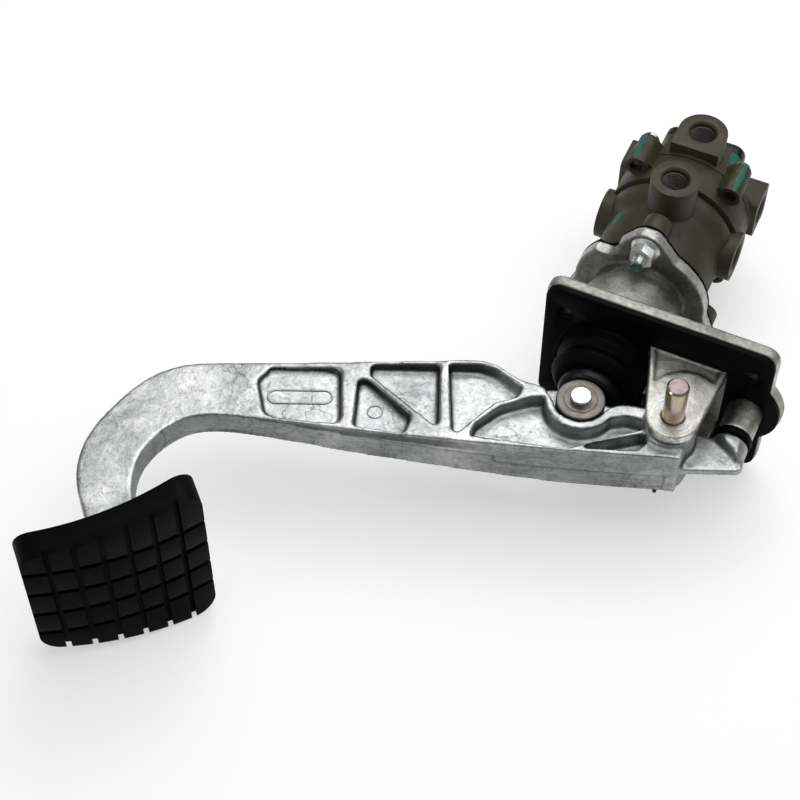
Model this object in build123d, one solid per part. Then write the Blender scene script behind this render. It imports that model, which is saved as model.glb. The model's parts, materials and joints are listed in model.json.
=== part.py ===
from build123d import *
import math
import os

os.makedirs("parts", exist_ok=True)

# Foot brake valve with a hanging pedal, in millimetres, as it is bolted in the truck.
# +Z is up, +Y points from the driver to the engine, +X to the side that lay on the floor.
# The origin is the middle of the four bolt holes on the face that meets the dash panel.

# Clearances
RUN_GAP = 0.05
SLIDE_GAP = 0.08
SEAT_GAP = 0.1
PAD_GAP = 0.15
BOLT_GAP = 0.3

# Plate, its rubber sheet and the four bolt holes
SHEET_T = 3.0
SHEET_INSET = 1.0
PLATE_T = 7.5
HOLE_SPAN_X = 60.0
HOLE_SPAN_Z = 112.0
HOLE_R = 5.25
HOLE_EDGE_X = 20.5
HOLE_EDGE_LOW = 13.5
HOLE_EDGE_TOP = 12.0
PLATE_LOW_Z = -HOLE_SPAN_Z / 2 - HOLE_EDGE_LOW
PLATE_TOP_Z = HOLE_SPAN_Z / 2 + HOLE_EDGE_TOP
PLATE_HALF_X = HOLE_SPAN_X / 2 + HOLE_EDGE_X
PLATE_CORNER_R = 9.0
PLATE_EDGE = 1.2
LOBE_RISE = 8.5
LOBE_TOP_Z = PLATE_TOP_Z + LOBE_RISE
LOBE_R = 26.6
PLATE_FRONT = SHEET_T
PLATE_BACK = SHEET_T + PLATE_T

# Fulcrum: the axis that the pedal swings on
FUL_Y = -40.0
FUL_Z = 24.0
PIN_R = 6.35
PIN_END_FREE_X = -54.0
PIN_END_FAR_X = 36.0
PIN_CHAMFER = 1.2
EAR_IN_X = 20.5
EAR_T = 7.0
EAR_TIP_R = 15.2
FAR_EAR_TIP_R = 12.8
EAR_ROOT_LOW_Z = -5.0
EAR_ROOT_TOP_Z = 41.6
EAR_RIM = 3.2
EAR_RECESS = 1.2
EAR_ARC_R = 20.5
EAR_ARC_DY = 12.0
EAR_ARC_DZ = 3.0
COTTER_R = 1.2
COTTER_HALF = 13.0
COTTER_SPLAY = 3.2

# Stop boss and rubber bumper that the pedal's tail rests on
STOP_Z = 56.3
STOP_R = 10.3
STOP_END_Y = -20.0
BUMPER_R = 11.0
BUMPER_T = 5.0
BUMPER_STEM_R = 3.0
BUMPER_STEM = 8.0
BUMPER_END_Y = STOP_END_Y - BUMPER_T

# Valve axis and the plunger that the rollers push
VALVE_Z = -29.0
ROLLER_R = 14.0
ROLLER_Z = FUL_Z - 52.5
ROLLER_Y = FUL_Y - 2.9
PLUNGER_FACE_Y = ROLLER_Y + ROLLER_R + SLIDE_GAP
PLUNGER_CAP_R = 18.6
PLUNGER_CAP_T = 13.5
PLUNGER_CAP_CHAMFER = 1.5
PLUNGER_STEM_R = 12.0
PLUNGER_SEAT_Y = 36.0
PLUNGER_SEAT_T = 3.0
PLUNGER_SKIRT_R = 20.0
PLUNGER_SKIRT_WALL = 2.5
PLUNGER_END_Y = 51.0
SPRING_ROOM = 7.0
GUIDE_END_Y = 24.0
GUIDE_T = 2.0

# Bellows round the plunger
BOOT_WALL = 1.6
BOOT_BASE_R = 28.5
BOOT_BASE_T = 2.2
BOOT_FRONT_Y = -22.5
BOOT_RING_R = 22.5
BOOT_RING_T = 2.4
BOOT_REAR_R = 27.5
BOOT_NECK_R = 24.2
BOOT_NECK_Y = -10.8
BOOT_BULGE_R = 26.8
BOOT_BULGE_Y = -16.2

# Adapter that carries the valve on the back of the plate
ADAPTER_FOOT_R = 38.0
ADAPTER_NECK_R = 28.0
ADAPTER_WALL_R = 24.0
FLANGE_Y = 54.0
FLANGE_T = 8.0
FLANGE_R = 41.0
FLANGE_LOBE_R = 11.0
STUD_PCR = 42.0
STUD_R = 4.0
STUD_FREE = 15.5
STUD_GRIP = 14.0
NUT_FLANGE_R = 8.95
NUT_FLANGE_T = 2.0
NUT_AF = 13.0
NUT_H = 8.0
SCALLOP_R = 9.0
SCALLOP_X = -36.0
SCALLOP_Z = VALVE_Z - 25.0
GASKET_T = 0.8
BODY_Y = FLANGE_Y + FLANGE_T + GASKET_T

# Lower valve body: a core that swells to a ridge, a groove, then the drum up to the joint face
CORE_R = 36.0
RIDGE_R = 40.0
GROOVE_R = 37.6
DRUM_R = 41.5
LOWER_LEN = 70.2
SPLIT_Y = BODY_Y + LOWER_LEN
DRUM_LEN = 20.5
GROOVE_W = 3.4
RIDGE_W = 2.6
SWELL_LEN = 14.0
JOINT_GROOVE = 0.8
STUD_LUG_R = 8.0
STUD_LUG_LEN = 13.5
STUD_LUG_WEB = 5.5
LUG_X = 35.8
LUG_Z = 29.2
LUG_R = 6.9
LUG_TOP_R = 6.4
LUG_LEN = 14.5
LUG_TOP_LEN = 8.8
LUG_RECESS_R = 4.2
LUG_WEB_SHARE = 0.86
LUG_RECESS = 3.0
PORT_R = 7.9
PORT_MOUTH_R = 9.05
PORT_BOSS_R = 14.4
PORT_DEPTH = 18.0
PASSAGE_R = 5.0
PORT_LOW_Y = 100.0
PORT_LOW_X = -57.0
PORT_HIGH_Y = 151.5
PORT_HIGH_X = -47.5
SIDE_LOW_Y = 107.5
SIDE_HIGH_Y = 149.8
TONGUE_HALF = 15.0
TONGUE_Y = 135.8
SIDE_PORT_TOP_Z = 15.0
SIDE_PORT_LOW_Z = -73.5
SIDE_ROUND_TOP_Z = 14.0
SIDE_ROUND_LOW_Z = -72.5
SIDE_HALF_X = 14.5
SIDE_HIGH_HALF_Y = 12.4
SIDE_ROUND_R = 15.2
SIDE_CORNER_R = 5.0
HEAD_X = 30.0
HEAD_Z = 25.3
HEAD_CORNER_R = 8.0
HEAD_LEN = 27.0
HEAD_Y = SPLIT_Y + HEAD_LEN
HEAD_ROOT = 5.0
COVER_T = 6.5
COVER_HOLE_R = 14.0
SCREW_R = 3.0
SCREW_HEAD_R = 5.4
SCREW_HEAD_H = 3.2
SCREW_TIP_DEPTH = 2.4
COVER_SCREW_R = 2.2
COVER_SCREW_HEAD_R = 4.0
COVER_SCREW_HEAD_H = 2.6
COVER_SCREW_INSET = 7.0
COVER_SCREW_LEN = 9.0

# Pistons and valves inside, all on the valve axis
PRIMARY_BORE_R = 25.0
PRIMARY_DEPTH = 24.2
PRIMARY_FLOOR_Y = BODY_Y + PRIMARY_DEPTH
SEAT_HOLE_R = 9.0
SEAT_WALL = 4.0
CHAMBER_R = 16.0
RELAY_BORE_R = 24.0
RELAY_DEPTH = 17.0
RELAY_Y = SPLIT_Y - RELAY_DEPTH
PRIMARY_PISTON_ROOM = 3.2
PRIMARY_PISTON_Y = BODY_Y + PRIMARY_PISTON_ROOM
PRIMARY_PISTON_T = 13.0
PISTON_STROKE = 2.5
PISTON_STEM_R = 6.5
STEM_BORE_R = 3.0
RELAY_PISTON_ROOM = 2.5
RELAY_PISTON_Y = RELAY_Y + RELAY_PISTON_ROOM
RELAY_PISTON_T = 9.0
RELAY_STROKE = 2.3
RING_R = 1.1
VALVE_DISC_R = 12.0
VALVE_DISC_T = 3.0
VALVE_STEM_R = 4.5
VALVE_LEN = 16.0
RETAINER_T = 3.5
UPPER_CHAMBER_R = 15.0
CONTROL_COIL_R = 13.0
CONTROL_WIRE_R = 1.8
RETURN_COIL_R = 17.0
RETURN_WIRE_R = 1.3
VALVE_COIL_R = 8.0
VALVE_WIRE_R = 0.9
PISTON_CUP = 6.0
PISTON_RIM = 4.0
PISTON_GROOVE = 5.0
RELAY_GROOVE = 4.0

# Pedal arm: outline as (z, y) from the fulcrum, z up, y to the engine
HUB_R = 14.6
HUB_HALF_X = 18.6
BUSH_R = 8.6
BUSH_FLANGE_R = 11.0
BUSH_FLANGE_T = 1.5
ARM_THICK_HALF = 16.5
ARM_THIN_HALF = 9.0
ARM_THICK_Z = -52.0
ARM_THIN_Z = -222.0
WEB_HALF = 5.5
SADDLE_R = 15.2
TAIL_HALF = 2.4
TAIL_BUTTON_R = 10.4
ROLLER_PIN_R = 6.1
ROLLER_PIN_PROUD = 3.7
ROLLER_BUSH_R = 9.2
ROLLER_SIDE_GAP = 0.35
BUTTON_THIN = 1.9
BUTTON_THICK = 13.4
POCKET_FLOOR_R = 1.5
ARM_REACH = 40.0

# Foot pad: a curved rubber cover on the arm's foot plate
PAD_BACK_U = -247.4
PAD_BACK_V = -193.3
PAD_TILT_DEG = 45.1
PAD_LENGTH = 99.0
PAD_LOW_HALF = 44.8
PAD_TOP_HALF = 58.6
PAD_T = 16.5
PAD_BACK_R = 174.0
PAD_CORNER_R = 12.0
PAD_COLUMNS = 7
PAD_ROW_PITCH = 19.6
PAD_GROOVE = 3.0
PAD_ROW_GROOVE = 3.4
PAD_GROOVE_DEPTH = 3.2
FOOT_INSET = 5.0
FOOT_LIP = 3.0
FOOT_T = 5.0
NECK_GAP = 0.3
NECK_SHARE = 0.25
NECK_STEPS = 5
PAD_SPAN = 160.0
PAD_REACH = 40.0
PAD_DROP = 20.0


def cyl_y(radius, y0, y1, x=0.0, z=VALVE_Z):
    return Pos(x, (y0 + y1) / 2, z) * Rot(90, 0, 0) * Cylinder(radius, y1 - y0)


def cyl_x(radius, x0, x1, y, z):
    return Pos((x0 + x1) / 2, y, z) * Rot(0, 90, 0) * Cylinder(radius, x1 - x0)


def cyl_z(radius, z0, z1, x, y):
    return Pos(x, y, (z0 + z1) / 2) * Cylinder(radius, z1 - z0)


def slab_y(sketch, y0, y1):
    plane = Plane(origin=(0, y1, 0), x_dir=(1, 0, 0), z_dir=(0, -1, 0))
    return extrude(plane * sketch, amount=y1 - y0, dir=(0, -1, 0))


def slab_x(sketch, x0, x1):
    plane = Plane(origin=(x0, 0, 0), x_dir=(0, 1, 0), z_dir=(1, 0, 0))
    return extrude(plane * sketch, amount=x1 - x0, dir=(1, 0, 0))


def slab_z(sketch, z0, z1):
    return extrude(Pos(0, 0, z0) * sketch, amount=z1 - z0, dir=(0, 0, 1))


AXIAL_PLANE = Plane(origin=(0, 0, VALVE_Z), x_dir=(1, 0, 0), z_dir=(0, 0, 1))
VALVE_AXIS = Axis((0, 0, VALVE_Z), (0, 1, 0))


def turned(points):
    """Solid of revolution about the valve axis from (radius, y) points."""
    return revolve(AXIAL_PLANE * make_face(Polyline(*points, close=True)), VALVE_AXIS)


def rounded(points, radius):
    """Closed outline with every corner rounded."""
    face = make_face(Polyline(*points, close=True))
    return fillet(face.vertices(), radius)


def save(shape, name):
    export_step(shape, "parts/" + name + ".step")


def coil(radius, wire, y0, y1, turns):
    """Closed coil spring about the valve axis."""
    pitch = (y1 - y0 - 2 * wire) / turns
    path = Helix(pitch=pitch, height=pitch * turns, radius=radius)
    start = path @ 0
    section = Plane(origin=start, x_dir=(1, 0, 0), z_dir=path % 0) * RegularPolygon(wire, 6)
    body = sweep(section, path=path, is_frenet=True)
    return Pos(0, y0 + wire, VALVE_Z) * Rot(-90, 0, 0) * body


# Plate outline, shared by the casting and the rubber sheet
def plate_outline(inset):
    low = PLATE_LOW_Z + inset
    top = PLATE_TOP_Z - inset
    half = PLATE_HALF_X - inset
    body = Pos(0, (low + top) / 2) * RectangleRounded(2 * half, top - low, PLATE_CORNER_R)
    lobe = Pos(0, LOBE_TOP_Z - LOBE_R) * Circle(LOBE_R - inset)
    return body + lobe


def bolt_holes(y0, y1):
    holes = []
    for sx in (-1, 1):
        for sz in (-1, 1):
            holes.append(cyl_y(HOLE_R, y0 - 1, y1 + 1, sx * HOLE_SPAN_X / 2, sz * HOLE_SPAN_Z / 2))
    return holes


STUD_PLACES = []
for angle in (90, 210, 330):
    a = math.radians(angle)
    STUD_PLACES.append((-STUD_PCR * math.sin(a), VALVE_Z + STUD_PCR * math.cos(a)))

LUG_PLACES = [(sx * LUG_X, VALVE_Z + sz * LUG_Z) for sx in (-1, 1) for sz in (-1, 1)]

# Ear outline: a root on the plate and a round tip on the fulcrum
ear_root_h = EAR_ROOT_TOP_Z - EAR_ROOT_LOW_Z
ear_root = Pos(PLATE_FRONT + 0.5, (EAR_ROOT_TOP_Z + EAR_ROOT_LOW_Z) / 2) * Rectangle(1.0, ear_root_h)


def ear_outline(tip_r):
    tip = Pos(FUL_Y, FUL_Z) * Circle(tip_r)
    return make_hull(tip.edges() + ear_root.edges())


ear_face = ear_outline(EAR_TIP_R)
ear_inner = offset(ear_face, amount=-EAR_RIM)
ear_arc = Pos(FUL_Y + EAR_ARC_DY, FUL_Z + EAR_ARC_DZ) * Circle(EAR_ARC_R)
ear_recess = ear_inner - ear_arc - Pos(FUL_Y - EAR_ARC_R, FUL_Z) * Rectangle(EAR_ARC_R * 2, 80)

# Mounting bracket: plate, ears, stop boss and adapter in one casting
plate = slab_y(plate_outline(0), PLATE_FRONT, PLATE_BACK)
plate_rim = plate.faces().filter_by(Axis.Y).sort_by(Axis.Y)[-1].outer_wire().edges()
plate = chamfer(plate_rim, PLATE_EDGE)
bracket = plate
ear_out = EAR_IN_X + EAR_T
bracket += slab_x(ear_face, -ear_out, -EAR_IN_X)
bracket += slab_x(ear_outline(FAR_EAR_TIP_R), EAR_IN_X, ear_out)
bracket += cyl_y(STOP_R, STOP_END_Y, PLATE_FRONT + 1, 0, STOP_Z)
cone = turned([(0, PLATE_BACK - 1), (ADAPTER_FOOT_R, PLATE_BACK - 1), (ADAPTER_FOOT_R, PLATE_BACK + 3),
               (ADAPTER_NECK_R, FLANGE_Y - 6), (ADAPTER_NECK_R, FLANGE_Y + 1), (0, FLANGE_Y + 1)])
flange = Pos(0, VALVE_Z) * Circle(FLANGE_R)
for x, z in STUD_PLACES:
    lobe = Pos(x, z) * Circle(FLANGE_LOBE_R)
    flange += make_hull(lobe.edges() + (Pos(0, VALVE_Z) * Circle(FLANGE_R - 4)).edges())
flange -= Pos(SCALLOP_X, SCALLOP_Z) * Circle(SCALLOP_R)
bracket += cone
bracket += slab_y(flange, FLANGE_Y, FLANGE_Y + FLANGE_T)
bracket -= cyl_y(PLUNGER_STEM_R + GUIDE_T, PLATE_FRONT - 1, GUIDE_END_Y)
bracket -= cyl_y(ADAPTER_WALL_R, GUIDE_END_Y, FLANGE_Y + FLANGE_T + 1)
bracket -= cyl_y(BUMPER_STEM_R, STOP_END_Y - 1, STOP_END_Y + BUMPER_STEM + SEAT_GAP, 0, STOP_Z)
bracket -= cyl_x(PIN_R + RUN_GAP, -ear_out - 1, ear_out + 1, FUL_Y, FUL_Z)
bracket -= slab_x(ear_recess, -ear_out - 1, -ear_out + EAR_RECESS)
for hole in bolt_holes(PLATE_FRONT, PLATE_BACK):
    bracket -= hole
for x, z in STUD_PLACES:
    bracket -= cyl_y(STUD_R + BOLT_GAP, FLANGE_Y - 1, FLANGE_Y + FLANGE_T + 1, x, z)
save(bracket, "mounting_bracket")

# Rubber sheet on the face that meets the dash panel
sheet = slab_y(plate_outline(SHEET_INSET), 0, SHEET_T)
window_low = EAR_ROOT_LOW_Z - 0.4
window_top = EAR_ROOT_TOP_Z + 0.4
window = Pos(0, (window_low + window_top) / 2) * Rectangle(2 * (ear_out + 0.3), window_top - window_low)
sheet -= slab_y(window, -1, SHEET_T + 1)
sheet -= cyl_y(STOP_R + 0.3, -1, SHEET_T + 1, 0, STOP_Z)
sheet -= cyl_y(BOOT_BASE_R + 0.3, -1, SHEET_T + 1)
for hole in bolt_holes(0, SHEET_T):
    sheet -= hole
save(sheet, "mounting_gasket")

# Rubber bumper on the stop boss
bumper = cyl_y(BUMPER_R, BUMPER_END_Y, STOP_END_Y, 0, STOP_Z)
bumper = chamfer(bumper.edges().filter_by(GeomType.CIRCLE).sort_by(Axis.Y)[0], 0.8)
bumper += cyl_y(BUMPER_STEM_R - SEAT_GAP, STOP_END_Y - 0.5, STOP_END_Y + BUMPER_STEM, 0, STOP_Z)
save(bumper, "stop_bumper")

# Fulcrum pin, standing proud on the near side, with a split pin at its far end
pin = cyl_x(PIN_R, PIN_END_FREE_X, PIN_END_FAR_X, FUL_Y, FUL_Z)
pin = chamfer(pin.edges().filter_by(GeomType.CIRCLE), PIN_CHAMFER)
COTTER_X = ear_out + COTTER_R + 1.5
cotter_hole = Pos(COTTER_X, FUL_Y, FUL_Z) * Rot(90, 0, 0) * Cylinder(COTTER_R + RUN_GAP, 2 * PIN_R + 2)
pin -= cotter_hole
save(pin, "fulcrum_pin")
cotter = Pos(COTTER_X, FUL_Y, FUL_Z) * Rot(90, 0, 0) * Cylinder(COTTER_R, 2 * COTTER_HALF)
cotter += Pos(COTTER_X, FUL_Y + COTTER_HALF, FUL_Z) * Rot(0, 90, 0) * Torus(COTTER_SPLAY, COTTER_R)
save(cotter, "split_pin")

# Guide bush pressed in the plate for the plunger's stem
guide = cyl_y(PLUNGER_STEM_R + GUIDE_T - 0.02, PLATE_FRONT, GUIDE_END_Y)
guide -= cyl_y(PLUNGER_STEM_R + SLIDE_GAP, PLATE_FRONT - 1, GUIDE_END_Y + 1)
save(guide, "plunger_guide")

# Plunger: dark cap under the rollers, stem through the guide, skirt over the control spring
cap_end_y = PLUNGER_FACE_Y + PLUNGER_CAP_T
plunger_cap = turned([(0, PLUNGER_FACE_Y), (PLUNGER_CAP_R - PLUNGER_CAP_CHAMFER, PLUNGER_FACE_Y),
                      (PLUNGER_CAP_R, PLUNGER_FACE_Y + PLUNGER_CAP_CHAMFER), (PLUNGER_CAP_R, cap_end_y),
                      (0, cap_end_y)])
save(plunger_cap, "plunger_cap")
skirt_in = PLUNGER_SKIRT_R - PLUNGER_SKIRT_WALL
skirt_y = PLUNGER_SEAT_Y - PLUNGER_SEAT_T
plunger = turned([(0, cap_end_y), (PLUNGER_STEM_R, cap_end_y), (PLUNGER_STEM_R, skirt_y),
                  (PLUNGER_SKIRT_R, skirt_y), (PLUNGER_SKIRT_R, PLUNGER_END_Y), (skirt_in, PLUNGER_END_Y),
                  (skirt_in, PLUNGER_SEAT_Y), (0, PLUNGER_SEAT_Y)])
save(plunger, "plunger")

# Bellows: base flange on the plate, two folds and a ring that wipes the plunger's cap
boot_out = [(BOOT_BASE_R, PLATE_FRONT), (BOOT_BASE_R, PLATE_FRONT - BOOT_BASE_T), (BOOT_REAR_R, -1.5),
            (BOOT_REAR_R, -6.5), (BOOT_NECK_R, BOOT_NECK_Y), (BOOT_BULGE_R - 0.8, BOOT_BULGE_Y + 2.0),
            (BOOT_BULGE_R, BOOT_BULGE_Y), (BOOT_BULGE_R - 0.8, BOOT_BULGE_Y - 2.0),
            (BOOT_RING_R + 0.4, BOOT_FRONT_Y + 0.8), (BOOT_RING_R - 0.6, BOOT_FRONT_Y)]
ring_in = PLUNGER_CAP_R + SLIDE_GAP
rear_in = BOOT_REAR_R - BOOT_WALL - 0.6
boot_in = [(ring_in, BOOT_FRONT_Y), (ring_in, BOOT_FRONT_Y + BOOT_RING_T),
           (BOOT_RING_R - BOOT_WALL, BOOT_FRONT_Y + BOOT_RING_T), (BOOT_BULGE_R - BOOT_WALL, BOOT_BULGE_Y),
           (BOOT_NECK_R - BOOT_WALL, BOOT_NECK_Y), (rear_in, -6.0), (rear_in, PLATE_FRONT)]
boot = turned(boot_out + boot_in)
save(boot, "plunger_boot")

# Gasket between the adapter and the valve
gasket = flange - Pos(0, VALVE_Z) * Circle(PRIMARY_BORE_R)
for x, z in STUD_PLACES:
    gasket -= Pos(x, z) * Circle(STUD_R + BOLT_GAP)
save(slab_y(gasket, FLANGE_Y + FLANGE_T, BODY_Y), "adapter_gasket")


def port_hole_x(face_x, y, floor_r):
    """Port hole from a face at low X: countersunk mouth, threaded part and a passage to the chamber."""
    hole = cyl_x(PORT_R, face_x - 1, face_x + PORT_DEPTH, y, VALVE_Z)
    mouth = Pos(face_x, y, VALVE_Z) * Rot(0, 90, 0) * Cone(PORT_MOUTH_R, PORT_R, PORT_MOUTH_R - PORT_R,
                                                         align=(Align.CENTER, Align.CENTER, Align.MIN))
    return hole + mouth + cyl_x(PASSAGE_R, face_x, 4 - floor_r, y, VALVE_Z)


def port_hole_z(face_z, y, floor_r):
    """The same from a face above or below the valve axis."""
    up = 1 if face_z > VALVE_Z else -1
    ends = sorted((face_z - up * PORT_DEPTH, face_z + up))
    hole = cyl_z(PORT_R, ends[0], ends[1], 0, y)
    mouth = Pos(0, y, face_z) * Rot(90 + 90 * up, 0, 0) * Cone(PORT_MOUTH_R, PORT_R, PORT_MOUTH_R - PORT_R,
                                                             align=(Align.CENTER, Align.CENTER, Align.MIN))
    ends = sorted((face_z, VALVE_Z + up * (floor_r - 4)))
    return hole + mouth + cyl_z(PASSAGE_R, ends[0], ends[1], 0, y)


def side_block(y, z0, z1, half_y):
    """Square port block with rounded corners on the upper or lower side."""
    outline = Pos(0, y) * RectangleRounded(2 * SIDE_HALF_X, 2 * half_y, SIDE_CORNER_R)
    return slab_z(outline, z0, z1)


# Lower valve body: core, drum, three stud lugs, four screw lugs and three ports
drum_y = SPLIT_Y - DRUM_LEN
ridge_end = drum_y - GROOVE_W
ridge_y = ridge_end - RIDGE_W
lower_side = [Line((0, BODY_Y), (CORE_R, BODY_Y)), Line((CORE_R, BODY_Y), (CORE_R, ridge_y - SWELL_LEN)),
              Spline((CORE_R, ridge_y - SWELL_LEN), (RIDGE_R, ridge_y), tangents=((0, 1), (0, 1))),
              Polyline((RIDGE_R, ridge_y), (RIDGE_R, ridge_end), (GROOVE_R, ridge_end), (GROOVE_R, drum_y),
                       (DRUM_R, drum_y), (DRUM_R, SPLIT_Y), (0, SPLIT_Y), (0, BODY_Y))]
lower = revolve(AXIAL_PLANE * make_face(Curve() + lower_side), VALVE_AXIS)
stud_lug_end = BODY_Y + STUD_LUG_LEN
for x, z in STUD_PLACES:
    away = math.hypot(x, z - VALVE_Z)
    share = STUD_LUG_WEB / away
    inner = Pos(x - x * share, z - (z - VALVE_Z) * share) * Circle(STUD_LUG_R)
    outer = Pos(x, z) * Circle(STUD_LUG_R)
    lower += slab_y(make_hull(outer.edges() + inner.edges()), BODY_Y, stud_lug_end)
lug_end = SPLIT_Y - LUG_LEN
for x, z in LUG_PLACES:
    lug = Pos(x, z) * Circle(LUG_R)
    web = Pos(x * LUG_WEB_SHARE, VALVE_Z + (z - VALVE_Z) * LUG_WEB_SHARE) * Circle(LUG_R)
    lower += slab_y(lug, lug_end, SPLIT_Y)
    lower += slab_y(make_hull(lug.edges() + web.edges()), lug_end + LUG_RECESS, SPLIT_Y)
lower += cyl_x(PORT_BOSS_R, PORT_LOW_X, 0, PORT_LOW_Y, VALVE_Z)
lower += cyl_z(SIDE_ROUND_R, SIDE_ROUND_LOW_Z, SIDE_ROUND_TOP_Z, 0, SIDE_LOW_Y)
lower -= cyl_y(PRIMARY_BORE_R, BODY_Y - 1, PRIMARY_FLOOR_Y)
lower -= cyl_y(SEAT_HOLE_R, PRIMARY_FLOOR_Y - 1, PRIMARY_FLOOR_Y + SEAT_WALL + 1)
lower -= cyl_y(CHAMBER_R, PRIMARY_FLOOR_Y + SEAT_WALL, RELAY_Y)
lower -= cyl_y(RELAY_BORE_R, RELAY_Y, SPLIT_Y + 1)
lower -= port_hole_x(PORT_LOW_X, PORT_LOW_Y, CHAMBER_R)
lower -= port_hole_z(SIDE_ROUND_TOP_Z, SIDE_LOW_Y, CHAMBER_R)
lower -= port_hole_z(SIDE_ROUND_LOW_Z, SIDE_LOW_Y, CHAMBER_R)
for x, z in STUD_PLACES:
    lower -= cyl_y(STUD_R, BODY_Y - 1, stud_lug_end - 2, x, z)
for x, z in LUG_PLACES:
    lower -= cyl_y(SCREW_R, lug_end - 1, SPLIT_Y + 1, x, z)
    lower -= cyl_y(LUG_RECESS_R, lug_end - 1, lug_end + LUG_RECESS, x, z)
save(lower, "lower_valve_body")

# Upper valve body: flange with four lugs, square head, tongue port and two side ports
lug_top = SPLIT_Y + LUG_TOP_LEN
upper = cyl_y(DRUM_R - JOINT_GROOVE, SPLIT_Y, SPLIT_Y + JOINT_GROOVE)
upper += cyl_y(DRUM_R, SPLIT_Y + JOINT_GROOVE, lug_top - 2)
for x, z in LUG_PLACES:
    lug = Pos(x, z) * Circle(LUG_TOP_R)
    web = Pos(x * LUG_WEB_SHARE, VALVE_Z + (z - VALVE_Z) * LUG_WEB_SHARE) * Circle(LUG_TOP_R)
    upper += slab_y(make_hull(lug.edges() + web.edges()), SPLIT_Y, lug_top)
head = Pos(0, VALVE_Z) * RectangleRounded(2 * HEAD_X, 2 * HEAD_Z, HEAD_CORNER_R)
upper += slab_y(head, lug_top - HEAD_ROOT, HEAD_Y)
tongue_len = PORT_HIGH_Y - TONGUE_Y
tongue = Pos(TONGUE_Y + tongue_len / 2, VALVE_Z) * Rectangle(tongue_len, 2 * TONGUE_HALF)
tongue += Pos(PORT_HIGH_Y, VALVE_Z) * Circle(TONGUE_HALF)
upper += slab_x(tongue, PORT_HIGH_X, -10)
upper += side_block(SIDE_HIGH_Y, VALVE_Z, SIDE_PORT_TOP_Z, SIDE_HIGH_HALF_Y)
upper += side_block(SIDE_HIGH_Y, SIDE_PORT_LOW_Z, VALVE_Z, SIDE_HIGH_HALF_Y)
upper -= Pos(0, HEAD_Y + 10, VALVE_Z) * Box(2 * (HEAD_X + BOLT_GAP), 20, 2 * (HEAD_Z + BOLT_GAP))
upper -= cyl_y(SEAT_HOLE_R, SPLIT_Y - 1, SPLIT_Y + SEAT_WALL + 1)
upper -= cyl_y(UPPER_CHAMBER_R, SPLIT_Y + SEAT_WALL, HEAD_Y + 1)
upper -= port_hole_x(PORT_HIGH_X, PORT_HIGH_Y, UPPER_CHAMBER_R)
upper -= port_hole_z(SIDE_PORT_TOP_Z, SIDE_HIGH_Y, UPPER_CHAMBER_R)
upper -= port_hole_z(SIDE_PORT_LOW_Z, SIDE_HIGH_Y, UPPER_CHAMBER_R)
for x, z in LUG_PLACES:
    upper -= cyl_y(SCREW_R + BOLT_GAP, SPLIT_Y - 1, lug_top + 1, x, z)
cover_x = HEAD_X - COVER_SCREW_INSET
cover_z = HEAD_Z - COVER_SCREW_INSET
COVER_PLACES = [(sx * cover_x, VALVE_Z + sz * cover_z) for sx in (-1, 1) for sz in (-1, 1)]
for x, z in COVER_PLACES:
    upper -= cyl_y(COVER_SCREW_R, HEAD_Y - COVER_SCREW_LEN - 1, HEAD_Y + 1, x, z)
save(upper, "upper_valve_body")

# Black end cover with the exhaust mouth and its rubber flap
cover = slab_y(head, HEAD_Y, HEAD_Y + COVER_T)
cover -= cyl_y(COVER_HOLE_R, HEAD_Y - 1, HEAD_Y + COVER_T + 1)
for x, z in COVER_PLACES:
    cover -= cyl_y(COVER_SCREW_R + BOLT_GAP, HEAD_Y - 1, HEAD_Y + COVER_T + 1, x, z)
save(cover, "end_cover")
flap_r = COVER_HOLE_R - SEAT_GAP
flap = turned([(0, HEAD_Y + 2), (flap_r, HEAD_Y + 2), (flap_r, HEAD_Y + 5.5), (flap_r - 3, HEAD_Y + 5.5),
               (flap_r - 4.5, HEAD_Y + 3.8), (0, HEAD_Y + 3.8)])
save(flap, "exhaust_flap")


def screw(x, z, radius, head_r, head_h, tip_y, seat_y):
    body = cyl_y(radius, tip_y, seat_y + 0.5, x, z)
    head_part = cyl_y(head_r, seat_y, seat_y + head_h, x, z)
    head_part = chamfer(head_part.edges().filter_by(GeomType.CIRCLE).sort_by(Axis.Y)[-1], 0.7)
    return body + head_part


def group(shapes):
    return Compound(children=[s.solid() for s in shapes])


screw_tip = lug_end + SCREW_TIP_DEPTH
save(group([screw(x, z, SCREW_R - 0.02, SCREW_HEAD_R, SCREW_HEAD_H, screw_tip, lug_top)
            for x, z in LUG_PLACES]), "body_screws")
cover_top = HEAD_Y + COVER_T
cover_tip = HEAD_Y - COVER_SCREW_LEN
save(group([screw(x, z, COVER_SCREW_R - 0.02, COVER_SCREW_HEAD_R, COVER_SCREW_HEAD_H, cover_tip, cover_top)
            for x, z in COVER_PLACES]), "cover_screws")

# Adapter studs and flange nuts
stud_tip = FLANGE_Y - STUD_FREE
stud_end = FLANGE_Y + FLANGE_T + STUD_GRIP - 4
save(group([cyl_y(STUD_R - 0.02, stud_tip, stud_end, x, z) for x, z in STUD_PLACES]), "adapter_studs")


def flange_nut(x, z):
    hexagon = Pos(x, z) * RegularPolygon(NUT_AF / 2, 6, major_radius=False)
    body = slab_y(hexagon, FLANGE_Y - NUT_H, FLANGE_Y - NUT_FLANGE_T + 0.2)
    cone = Cone(NUT_AF / 2 + 0.6, NUT_FLANGE_R, NUT_FLANGE_T)
    skirt = Pos(x, FLANGE_Y - NUT_FLANGE_T / 2, z) * Rot(-90, 0, 0) * cone
    return body + skirt - cyl_y(STUD_R, FLANGE_Y - NUT_H - 1, FLANGE_Y + 1, x, z)


save(group([flange_nut(x, z) for x, z in STUD_PLACES]), "flange_nuts")

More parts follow.
